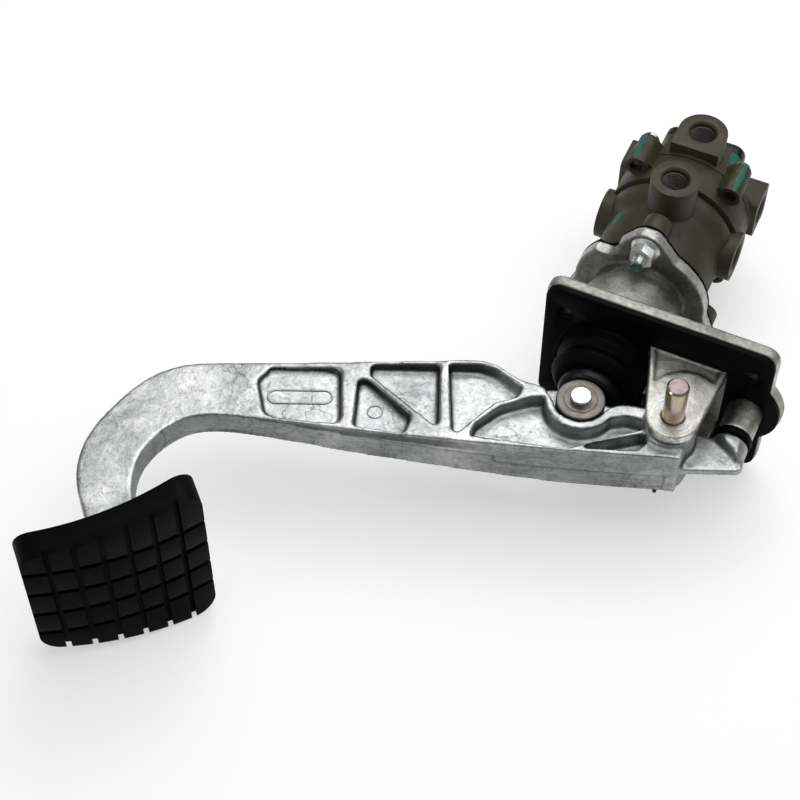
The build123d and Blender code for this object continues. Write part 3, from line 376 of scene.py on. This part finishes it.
def cast_aluminium(name, tones, shade_hollows_light_edges=False, drawn=0.0, shaded_holes=(), scratched_round=None, painted_shade=None):
    """Die-cast aluminium: faintly clouded, finely scuffed, with short dark flow lines and pits.

    tones are its dark, middle and light colours; drawn is the strength of the marks drawn along the arm.
    """
    dark, mid, light = tones
    f = Finish(name, mid, 0.4, 1.0)
    cloud = f.noise(22, 6, 0.62, 0.8)
    mottle = f.noise(260, 6, 0.75, 0.8)
    grain = f.noise(1300, 4, 0.65)
    base = f.ramp(cloud, (0.30, dark), (0.5, mid), (0.70, light))
    base = f.mix(0.8, base, f.ramp(mottle, (0.36, (0.52, 0.53, 0.54)), (0.50, grey(0.92)),
                                   (0.64, (1.14, 1.14, 1.13))), "MULTIPLY")
    flow = f.span(f.veins(48, 0.035), 0.0, 0.028, 1.0, 0.0)
    flow_line = f.math("MULTIPLY", flow, f.span(f.noise(30, 4, 0.6), 0.48, 0.62))
    base = f.mix(f.math("MULTIPLY", flow_line, 0.75), base, tuple(0.6 * part for part in dark))
    for scale, turn in ((330, 0.6), (410, -0.9)):
        along = f.mapped(scale=(1, 0.16, 1), turn=(turn, 0, 0))
        scuff = f.span(f.noise(scale, 4, 0.7, 0.5, at=along), 0.60, 0.70)
        base = f.mix(f.math("MULTIPLY", scuff, 0.6), base, dark)
    pits = f.span(f.noise(650, 2, 0.5), 0.70, 0.73)
    base = f.mix(f.math("MULTIPLY", pits, 0.6), base, grey(0.05))
    layers = [(cloud, 0.4, 0.0020), (flow_line, 0.3, -0.0003), (mottle, 0.45, 0.0004),
              (grain, 0.3, 0.00012)]
    if drawn:
        marks = f.noise(520, 5, 0.7, 0.6, at=f.mapped(scale=(1, 0.07, 0.07)))
        where = f.span(f.noise(28, 3, 0.6), 0.40, 0.60, 0.0, drawn)
        marked = f.ramp(marks, (0.38, grey(0.5)), (0.50, grey(0.95)), (0.62, grey(1.15)))
        base = f.mix(where, base, marked, "MULTIPLY")
    # Painted shade: the given mask darkens the arm's pocket walls and the back of the bracket's flange, and
    # also the plate's border
    if painted_shade is not None:
        base = f.mix(painted_shade(f), base, (0.04, 0.04, 0.038))
    # Painted shade in hollows and painted highlights on edges, from the colour attribute
    if shade_hollows_light_edges:
        hollow_shade_edge_highlight = f.ramp(f.attribute(SHADE_AND_HIGHLIGHT_ATTRIBUTE), (0.0, grey(0.08)), (0.32, grey(0.34)), (0.44, grey(0.92)),
                      (0.5, grey(1)), (0.58, grey(1.16)), (1.0, grey(1.4)))
        base = f.mix(1.0, base, hollow_shade_edge_highlight, "MULTIPLY")
    if scratched_round is not None:
        rings, ring_where = f.rings(scratched_round, 7.0 * MM, 17 * MM)
        base = f.mix(f.math("MULTIPLY", rings, ring_where), base, grey(0.97))
        layers.append((rings, 0.35, 0.00025))
    # Painted shade: the bores of the bolt holes are darkened nearly to black
    for place in shaded_holes:
        base = f.mix(f.daub(place, HOLE_SHADE_REACH, 0.0), base, grey(0.012))
    f.colour(base)
    f.gloss(f.span(f.noise(90, 5, 0.6), 0.3, 0.7, 0.30, 0.46))
    f.bumps(*layers)
    return f.material


# Green strokes as middle and half size in mm: on both near screw lugs, on the side port's root, beside the
# upper port, on the corner of the square head, and on both near screw heads
PAINT_GREEN = (0.010, 0.115, 0.080)
PAINT_STROKES = [
    ((-42.0, 133.0, -61.4), (4.0, 13.0, 1.8)),
    ((-42.8, 131.0, 2.4), (4.0, 12.0, 1.8)),
    ((-22.0, 87.0, -57.6), (4.0, 4.4, 2.2)),
    ((-30.0, 157.0, -8.5), (3.0, 5.5, 2.6)),
    ((-30.0, 151.5, -53.0), (3.0, 5.0, 2.6)),
    ((-38.5, 144.5, -61.0), (5.0, 4.0, 3.2)),
    ((-39.0, 144.5, 0.6), (5.0, 4.0, 3.0)),
]

# Below this the screws' tips stand in the lugs' recesses, where their colour is darkened as painted shade
SCREW_TIP_Y = 128.0 * MM


def paint_strokes(f):
    """1 under any of the strokes, with ragged edges."""
    ragged = f.span(f.noise(260, 4, 0.7), 0.2, 0.8, -0.45, 0.45)
    strokes = 0.0
    for middle, size in PAINT_STROKES:
        daub = f.daub(tuple(part * MM for part in middle), tuple(part * MM for part in size), ragged)
        strokes = f.math("MAXIMUM", strokes, daub)
    return strokes


def valve_casting():
    """Olive-brown coating on a fine sand-cast skin, with the fitter's green paint strokes."""
    f = Finish("valve_casting", (0.05, 0.045, 0.032), 0.5, 0.0, 0.35)
    cloud = f.noise(35, 5, 0.6)
    grain = f.noise(800, 3, 0.6)
    base = f.ramp(cloud, (0.3, (0.027, 0.0235, 0.010)), (0.7, (0.047, 0.041, 0.020)))
    rub = f.span(f.noise(330, 3, 0.6), 0.66, 0.74)
    base = f.mix(f.math("MULTIPLY", rub, 0.35), base, (0.11, 0.10, 0.075))
    f.colour(f.mix(paint_strokes(f), base, PAINT_GREEN))
    f.gloss(f.span(f.noise(150, 4, 0.6), 0.3, 0.7, 0.40, 0.58))
    f.bumps((f.noise(150, 4, 0.6), 0.25, 0.0006), (grain, 0.35, 0.00016))
    return f.material


def rubber(name, grain_scale, rough, specular=0.05):
    """Black rubber or plastic, faintly uneven."""
    f = Finish(name, (0.002, 0.002, 0.002), rough, 0.0, specular)
    dust = f.noise(30, 5, 0.65, 0.4)
    f.colour(f.ramp(dust, (0.35, (0.0010, 0.0010, 0.0011)), (0.8, (0.0024, 0.0025, 0.0026))))
    f.gloss(f.span(f.noise(45, 4, 0.6), 0.3, 0.7, rough - 0.08, rough + 0.1))
    f.bumps((f.noise(grain_scale, 3, 0.6), 0.3, 0.00018), (f.noise(120, 3, 0.5), 0.2, 0.0006))
    return f.material


def metal(name, colour, rough, spread, turned=None):
    """Plated or turned metal with faint drift and, where turned is set, fine marks drawn out along it."""
    f = Finish(name, colour, rough, 1.0)
    low = tuple(c * (1 - spread) for c in colour)
    high = tuple(min(1.0, c * (1 + spread)) for c in colour)
    f.colour(f.ramp(f.noise(70, 4, 0.6), (0.3, low), (0.7, high)))
    f.gloss(f.span(f.noise(200, 4, 0.6), 0.3, 0.7, max(0.05, rough - 0.08), rough + 0.1))
    marks = f.noise(450, 3, 0.6, at=f.mapped(scale=turned)) if turned else f.noise(450, 3, 0.6)
    f.bumps((marks, 0.12, 0.00008))
    return f.material


def painted_stud():
    """Zinc-plated stud with green paint on its end."""
    f = Finish("stud_zinc", ZINC, 0.28, 1.0)
    ragged = f.span(f.noise(500, 3, 0.6), 0.2, 0.8, -1.4 * MM, 1.4 * MM)
    along = f.math("ADD", f.axis("Y"), ragged)
    end = f.span(along, STUD_LOW.y + 1.2 * MM, STUD_LOW.y + 2.0 * MM, 1.0, 0.0)
    f.colour(f.mix(end, ZINC, (0.006, 0.05, 0.036)))
    f.put(f.math("SUBTRACT", 1.0, end), f.surface.inputs["Metallic"])
    f.bumps((f.noise(600, 3, 0.6), 0.1, 0.00008))
    return f.material


def painted_screw():
    """Zinc-plated screw with paint over its head, and painted shade darkening its tip in the lug's recess.
    """
    f = Finish("screw_zinc", ZINC, 0.28, 1.0)
    strokes = paint_strokes(f)
    # Painted shade: the tip below SCREW_TIP_Y is darkened where it stands in the recess
    tip_shade = f.span(f.axis("Y"), SCREW_TIP_Y, SCREW_TIP_Y + 1.0 * MM, 1.0, 0.0)
    f.colour(f.mix(tip_shade, f.mix(strokes, ZINC, PAINT_GREEN), (0.10, 0.095, 0.08)))
    f.put(f.math("SUBTRACT", 1.0, strokes), f.surface.inputs["Metallic"])
    f.bumps((f.noise(600, 3, 0.6), 0.1, 0.00008))
    return f.material


def yellow_pin():
    """Yellow passivated steel that drifts to rose and green."""
    f = Finish("plated_pin", (0.62, 0.52, 0.3), 0.2, 1.0)
    drift = f.noise(60, 3, 0.5, 0.8, at=f.mapped(scale=(0.6, 2.0, 2.0)))
    side = f.ramp(drift, (0.32, (0.36, 0.36, 0.22)), (0.45, (0.62, 0.52, 0.33)), (0.55, (0.68, 0.50, 0.46)),
                  (0.68, (0.50, 0.48, 0.28)))
    end = f.span(f.axis("X"), PIN_LOW.x + 0.1 * MM, PIN_LOW.x + 0.4 * MM, 1.0, 0.0)
    end_tone = f.ramp(f.noise(240, 3, 0.6), (0.35, (0.20, 0.155, 0.155)), (0.65, (0.29, 0.235, 0.225)))
    f.colour(f.mix(end, side, end_tone))
    f.gloss(f.mix(end, f.span(f.noise(150, 4, 0.6), 0.3, 0.7, 0.14, 0.3), (0.4, 0.4, 0.4)))
    f.bumps((f.noise(300, 3, 0.5, at=f.mapped(scale=(0.15, 1, 1))), 0.25, 0.00015))
    return f.material


BARE_TONES = (0.24, 0.245, 0.245), (0.42, 0.43, 0.43), (0.56, 0.56, 0.555)
BRACKET_TONES = (0.25, 0.243, 0.218), (0.50, 0.492, 0.458), (0.66, 0.652, 0.618)
ZINC = (0.62, 0.63, 0.63)
FINISHES = {
    "bare_casting": cast_aluminium("bare_casting", BARE_TONES),
    "valve_casting": valve_casting(),
    "black_rubber": rubber("black_rubber", 900, 0.5),
    "inner_rubber": rubber("inner_rubber", 700, 0.6),
    "gasket_fibre": rubber("gasket_fibre", 500, 0.8),
    "black_plastic": rubber("black_plastic", 1200, 0.35, 0.3),
    "plated_pin": yellow_pin(),
    "zinc_steel": metal("zinc_steel", (0.72, 0.73, 0.72), 0.40, 0.12),
    "dark_steel": metal("dark_steel", (0.05, 0.05, 0.05), 0.4, 0.2),
    "roller_steel": metal("roller_steel", (0.155, 0.143, 0.128), 0.42, 0.15, (0.3, 1, 1)),
    "bush_steel": metal("bush_steel", (0.145, 0.135, 0.12), 0.42, 0.15),
    "bright_steel": metal("bright_steel", (0.70, 0.70, 0.71), 0.20, 0.12),
    "spring_steel": metal("spring_steel", (0.42, 0.42, 0.43), 0.3, 0.1),
    "machined_aluminium": metal("machined_aluminium", (0.78, 0.78, 0.79), 0.22, 0.06),
}
ARM_CASTING = cast_aluminium("arm_casting", BARE_TONES, shade_hollows_light_edges=True, drawn=0.5, painted_shade=painted_shade_on_arm)
BRACKET_CASTING = cast_aluminium("bracket_casting", BRACKET_TONES, shade_hollows_light_edges=True, shaded_holes=BOLT_HOLES,
                                 scratched_round=FULCRUM, painted_shade=painted_shade_and_dark_border_on_bracket)
STUD_ZINC = painted_stud()
SCREW_ZINC = painted_screw()
THREAD_CUT = metal("thread_cut", (0.055, 0.052, 0.045), 0.32, 0.1)

# Every CAD node gets its finish and soft shading
for node, piece in frame["nodes"].items():
    piece.data.materials.clear()
    piece.data.materials.append(FINISHES[SLOT_OF[node]])
    activate(piece)
    bpy.ops.object.shade_smooth_by_angle(angle=math.radians(30))
deselect()


def skin_of(node):
    """A merged copy of a CAD node, free of its normals, to be worked on in its place."""
    piece = twin(frame["nodes"][node], node + "_skin")
    piece.parent = None
    for key in list(piece.keys()):
        del piece[key]
    bpy.ops.mesh.customdata_custom_splitnormals_clear()
    bpy.ops.object.mode_set(mode="EDIT")
    bpy.ops.mesh.select_all(action="SELECT")
    bpy.ops.mesh.remove_doubles(threshold=0.00001)
    bpy.ops.object.mode_set(mode="OBJECT")
    return piece


def fitted(piece, node, finish):
    """Puts a worked copy in the place of its CAD node, with a finish of its own where one is given."""
    if finish is not None:
        piece.data.materials.clear()
        piece.data.materials.append(finish)
    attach(piece, frame["nodes"][node]["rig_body"])
    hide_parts(node)
    deselect()


def softened(node, width, segments, finish):
    """Rounds the sharp edges of a node."""
    piece = skin_of(node)
    bpy.ops.object.mode_set(mode="EDIT")
    bpy.ops.mesh.dissolve_limited(angle_limit=math.radians(0.1))
    bpy.ops.object.mode_set(mode="OBJECT")
    apply_modifier(piece, "BEVEL", width=width, segments=segments, limit_method="ANGLE",
                   angle_limit=math.radians(28))
    bpy.ops.object.shade_smooth_by_angle(angle=math.radians(35))
    fitted(piece, node, finish)


def choose(piece, test):
    """Opens a piece in edit mode with the vertices selected whose place and normal pass a test."""
    activate(piece)
    bpy.ops.object.mode_set(mode="EDIT")
    bpy.ops.mesh.select_mode(type="VERT")
    bpy.ops.mesh.select_all(action="DESELECT")
    bpy.ops.object.mode_set(mode="OBJECT")
    for vertex in piece.data.vertices:
        vertex.select = test(vertex.co, vertex.normal)
    bpy.ops.object.mode_set(mode="EDIT")


def cast_skin(node, grain, passes):
    """Gives a casting one even skin with the soft edges of its mould."""
    piece = skin_of(node)
    apply_modifier(piece, "REMESH", mode="VOXEL", voxel_size=grain)
    apply_modifier(piece, "SMOOTH", factor=0.6, iterations=passes)
    return piece


def paint_hollow_shade_edge_highlight(piece):
    """Colour attribute: half grey on flats, painted shade dark in hollows and painted highlights pale on
    edges.
    """
    activate(piece)
    bpy.ops.object.shade_smooth()
    bpy.ops.geometry.color_attribute_add(name=SHADE_AND_HIGHLIGHT_ATTRIBUTE, domain="CORNER", data_type="BYTE_COLOR",
                                         color=(1, 1, 1, 1))
    bpy.ops.paint.vertex_color_dirt(blur_strength=1.0, blur_iterations=1, clean_angle=2.0,
                                    dirt_angle=1.1416, normalize=False)


def seam_x(z):
    """Where the mould's halves meet on the arm's underside: slanting, with a step near the hub."""
    if z > SEAM_STEP_Z:
        return SEAM_HUB_X
    share = (z - SEAM_LEFT[0]) / (SEAM_RIGHT[0] - SEAM_LEFT[0])
    return SEAM_LEFT[1] + min(max(share, 0.0), 1.0) * (SEAM_RIGHT[1] - SEAM_LEFT[1])


def faces_down(normal):
    """True on the arm's underside, away from its side walls and its turn towards the pad."""
    return normal.y < -0.35 and abs(normal.x) < 0.5 and normal.z > -0.4


def beyond_seam(place, normal):
    return faces_down(normal) and place.x > seam_x(place.z) and place.z < SEAM_END_Z


def on_seam(place, normal):
    return faces_down(normal) and abs(place.x - seam_x(place.z)) < FLASH_HALF and place.z < SEAM_END_Z


# The arm: the far half of its underside stands a little back, with a flash line where the halves meet
arm = cast_skin("pedal_arm", ARM_GRAIN, passes=5)
for test, growth in ((beyond_seam, -SEAM_STEP), (on_seam, FLASH_HEIGHT)):
    choose(arm, test)
    bpy.ops.transform.shrink_fatten(value=growth)
    bpy.ops.object.mode_set(mode="OBJECT")
paint_hollow_shade_edge_highlight(arm)
fitted(arm, "pedal_arm", ARM_CASTING)

bracket = cast_skin("mounting_bracket", BRACKET_GRAIN, passes=4)
paint_hollow_shade_edge_highlight(bracket)
fitted(bracket, "mounting_bracket", BRACKET_CASTING)

# Width in mm and number of segments of the rounded edges
EDGES = {
    "pedal_pad": (0.9, 3),
    "lower_valve_body": (0.9, 2),
    "upper_valve_body": (0.9, 2),
    "end_cover": (0.9, 2),
    "mounting_gasket": (0.5, 2),
    "stop_bumper": (0.8, 2),
    "plunger_boot": (0.9, 3),
    "flange_nuts": (0.3, 2),
    "body_screws": (0.5, 3),
    "cover_screws": (0.4, 2),
    "near_roller": (0.35, 2),
    "far_roller": (0.35, 2),
}
for node, (width, segments) in EDGES.items():
    softened(node, width * MM, segments, SCREW_ZINC if node == "body_screws" else None)


def finished(piece, name, body, finish):
    """Gives a new piece its name, finish and body."""
    apply_place(piece)
    piece.name = name
    piece.data.materials.clear()
    piece.data.materials.append(finish)
    bpy.ops.object.shade_smooth_by_angle(angle=math.radians(40))
    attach(piece, body)
    deselect()


def screw_thread(radius, pitch, turns, depth, steps, inward):
    """A three-sided ridge wound round Z from the origin upwards, its crest turned in or out."""
    crest = math.radians(-90 if inward else 90)
    bpy.ops.mesh.primitive_circle_add(vertices=3, radius=depth, fill_type="NOTHING", location=(radius, 0, 0),
                                      rotation=(math.radians(90), crest, 0))
    ridge = bpy.context.object
    apply_place(ridge)
    apply_modifier(ridge, "SCREW", axis="Z", angle=math.radians(360), screw_offset=pitch, iterations=turns,
                   steps=steps, render_steps=steps, use_merge_vertices=False, use_smooth_shade=False)
    bpy.ops.object.mode_set(mode="EDIT")
    bpy.ops.mesh.select_all(action="SELECT")
    bpy.ops.mesh.remove_doubles(threshold=0.000001)
    bpy.ops.mesh.fill_holes(sides=3)
    bpy.ops.mesh.normals_make_consistent(inside=False)
    bpy.ops.object.mode_set(mode="OBJECT")
    return ridge


def stand(piece, foot, along):
    """Puts a piece modelled along Z at its foot, pointing along the given direction."""
    turn = Vector(along).to_track_quat("Z", "Y").to_matrix().to_4x4()
    piece.matrix_world = Matrix.Translation(foot) @ turn


def discard(piece):
    activate(piece)
    bpy.ops.object.delete()


# Port threads: one wound ridge, copied to the six ports
PORT_PITCH = 1.5 * MM
PORT_TURNS = 9
PORT_RIDGE = 0.75 * MM
port_r = PORTS["near_lower_port"]["dims"]["r_mm"] * MM
port_ridge = screw_thread(port_r, PORT_PITCH, PORT_TURNS, PORT_RIDGE, 40, True)
for name, mount in PORTS.items():
    ridge = twin(port_ridge, name + "_thread")
    outward = Vector(mount["axis"])
    stand(ridge, Vector(mount["pos_m"]) - outward * (PORT_PITCH * PORT_TURNS / 2 + 1.0 * MM), outward)
    finished(ridge, name + "_thread", "bracket_and_valve", THREAD_CUT)
discard(port_ridge)

# Studs: a plain shank with a rolled thread on its free end
STUD_PITCH = 1.25 * MM
STUD_RIDGE = 0.6 * MM
stud_length = STUD_HIGH.y - STUD_LOW.y
stud_turns = int((NUT_LOW.y - STUD_LOW.y + 4 * MM) / STUD_PITCH)
bpy.ops.mesh.primitive_cylinder_add(vertices=40, radius=STUD_R - STUD_RIDGE, depth=stud_length,
                                    location=(0, 0, stud_length / 2))
shank = bpy.context.object
apply_place(shank)
apply_modifier(shank, "BEVEL", width=0.6 * MM, segments=2, limit_method="ANGLE",
               angle_limit=math.radians(40))
stud_ridge = screw_thread(STUD_R - STUD_RIDGE, STUD_PITCH, stud_turns, STUD_RIDGE, 32, False)
stud_ridge.location.z = 1.0 * MM
activate(stud_ridge)
shank.select_set(True)
bpy.context.view_layer.objects.active = shank
bpy.ops.object.join()
for count, angle in enumerate(STUD_ANGLES):
    stud = twin(shank, "stud_" + str(count))
    a = math.radians(angle)
    stand(stud, (-STUD_CIRCLE_R * math.sin(a), STUD_LOW.y, VALVE_Z + STUD_CIRCLE_R * math.cos(a)), (0, 1, 0))
    finished(stud, "stud_" + str(count), "bracket_and_valve", STUD_ZINC)
    if count == 0:
        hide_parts("adapter_studs")
discard(shank)


def cast_ring(name, middle, radius, half_length, turn, ridge_r):
    """A raised round or oval rim on the arm's web, its long axis turned from Y towards Z."""
    bpy.ops.mesh.primitive_torus_add(major_radius=radius, minor_radius=ridge_r, major_segments=48,
                                     minor_segments=10, rotation=(0, 0, math.pi / 48))
    ring = bpy.context.object
    apply_place(ring)
    for side in (-1, 1):
        choose(ring, lambda place, normal: place.x * side > 0)
        bpy.ops.transform.translate(value=(side * half_length, 0, 0))
        bpy.ops.object.mode_set(mode="OBJECT")
    lay = Matrix(((0, 0, -1), (1, 0, 0), (0, 1, 0))).to_4x4()
    ring.matrix_world = Matrix.Translation((WEB_X, *middle)) @ Matrix.Rotation(turn, 4, "X") @ lay
    finished(ring, name, "pedal", FINISHES["bare_casting"])


cast_ring("cartouche_rim", CARTOUCHE_MIDDLE, CARTOUCHE_END_R, CARTOUCHE_HALF - CARTOUCHE_END_R,
          CARTOUCHE_TURN, CARTOUCHE_RIDGE)
cast_ring("ejector_mark", EJECTOR_MARK, EJECTOR_R, 0.0, 0.0, EJECTOR_RIDGE)

# Floor: a plain pale sheet under the side that the part lies on, seen only from that side
FLOOR_X = cad_high.x + 0.5 * MM
PAPER_LIFT = 0.4
PAPER_GLOW = 1.27
bpy.ops.mesh.primitive_plane_add(size=8.0, location=(FLOOR_X, 0.05, -0.1),
                                 rotation=(0, math.radians(-90), 0))
floor = bpy.context.object
floor.name = "floor"
apply_place(floor)


def paper():
    """White paper with a soft shadow; from below it is clear, so that views from there see the part."""
    f = Finish("floor", (0.95, 0.95, 0.95), 0.8, 0.0, 0.05)
    white = f.nodes.new("ShaderNodeEmission")
    white.inputs["Strength"].default_value = PAPER_GLOW
    seen = f.nodes.new("ShaderNodeLightPath")
    lift = f.math("MULTIPLY", seen.outputs["Is Camera Ray"], PAPER_LIFT)
    lifted = f.nodes.new("ShaderNodeMixShader")
    f.links.new(lift, lifted.inputs[0])
    f.links.new(f.surface.outputs[0], lifted.inputs[1])
    f.links.new(white.outputs[0], lifted.inputs[2])
    clear = f.nodes.new("ShaderNodeBsdfTransparent")
    sides = f.nodes.new("ShaderNodeNewGeometry")
    either = f.nodes.new("ShaderNodeMixShader")
    f.links.new(sides.outputs["Backfacing"], either.inputs[0])
    f.links.new(lifted.outputs[0], either.inputs[1])
    f.links.new(clear.outputs[0], either.inputs[2])
    f.links.new(either.outputs[0], f.nodes["Material Output"].inputs["Surface"])
    return f.material


floor.data.materials.append(paper())

# Light: a wide soft lamp over the part, a smaller one beyond the top of the picture, and a weak one from
# the left
PART_MIDDLE = Vector((0.0, -0.05, -0.1))
PICTURE_UP = Vector((0, 0.908, -0.4194))
PICTURE_RIGHT = Vector((0, 0.4195, 0.9078))
OFF_FLOOR = Vector((-1, 0, 0))


def lamp(name, offset, size, watts):
    bpy.ops.object.light_add(type="AREA", location=PART_MIDDLE + offset)
    light = bpy.context.object
    light.name = name
    light.data.shape = "DISK"
    light.data.size = size
    light.data.energy = watts
    light.rotation_mode = "QUATERNION"
    light.rotation_quaternion = (-offset).to_track_quat("-Z", "Y")


lamp("wide_lamp", 1.25 * OFF_FLOOR + 0.35 * PICTURE_UP + 0.35 * PICTURE_RIGHT, 2.2, 18.5)
lamp("top_lamp", 1.25 * OFF_FLOOR + 0.90 * PICTURE_UP + 0.05 * PICTURE_RIGHT, 0.8, 3.2)
lamp("side_lamp", 0.7 * OFF_FLOOR - 0.5 * PICTURE_UP - 1.2 * PICTURE_RIGHT, 0.5, 2.0)

world = bpy.data.worlds.new("surround")
scene.world = world
world.use_nodes = True
tree = world.node_tree
surround = tree.nodes["Background"]
surround.inputs["Color"].default_value = (0.95, 0.97, 1.0, 1)
surround.inputs["Strength"].default_value = 0.22
backdrop = tree.nodes.new("ShaderNodeBackground")
backdrop.inputs["Color"].default_value = (1, 1, 1, 1)
rays = tree.nodes.new("ShaderNodeLightPath")
seen_or_lit = tree.nodes.new("ShaderNodeMixShader")
tree.links.new(rays.outputs["Is Camera Ray"], seen_or_lit.inputs[0])
tree.links.new(surround.outputs[0], seen_or_lit.inputs[1])
tree.links.new(backdrop.outputs[0], seen_or_lit.inputs[2])
tree.links.new(seen_or_lit.outputs[0], tree.nodes["World Output"].inputs["Surface"])

scene.view_settings.view_transform = "Standard"
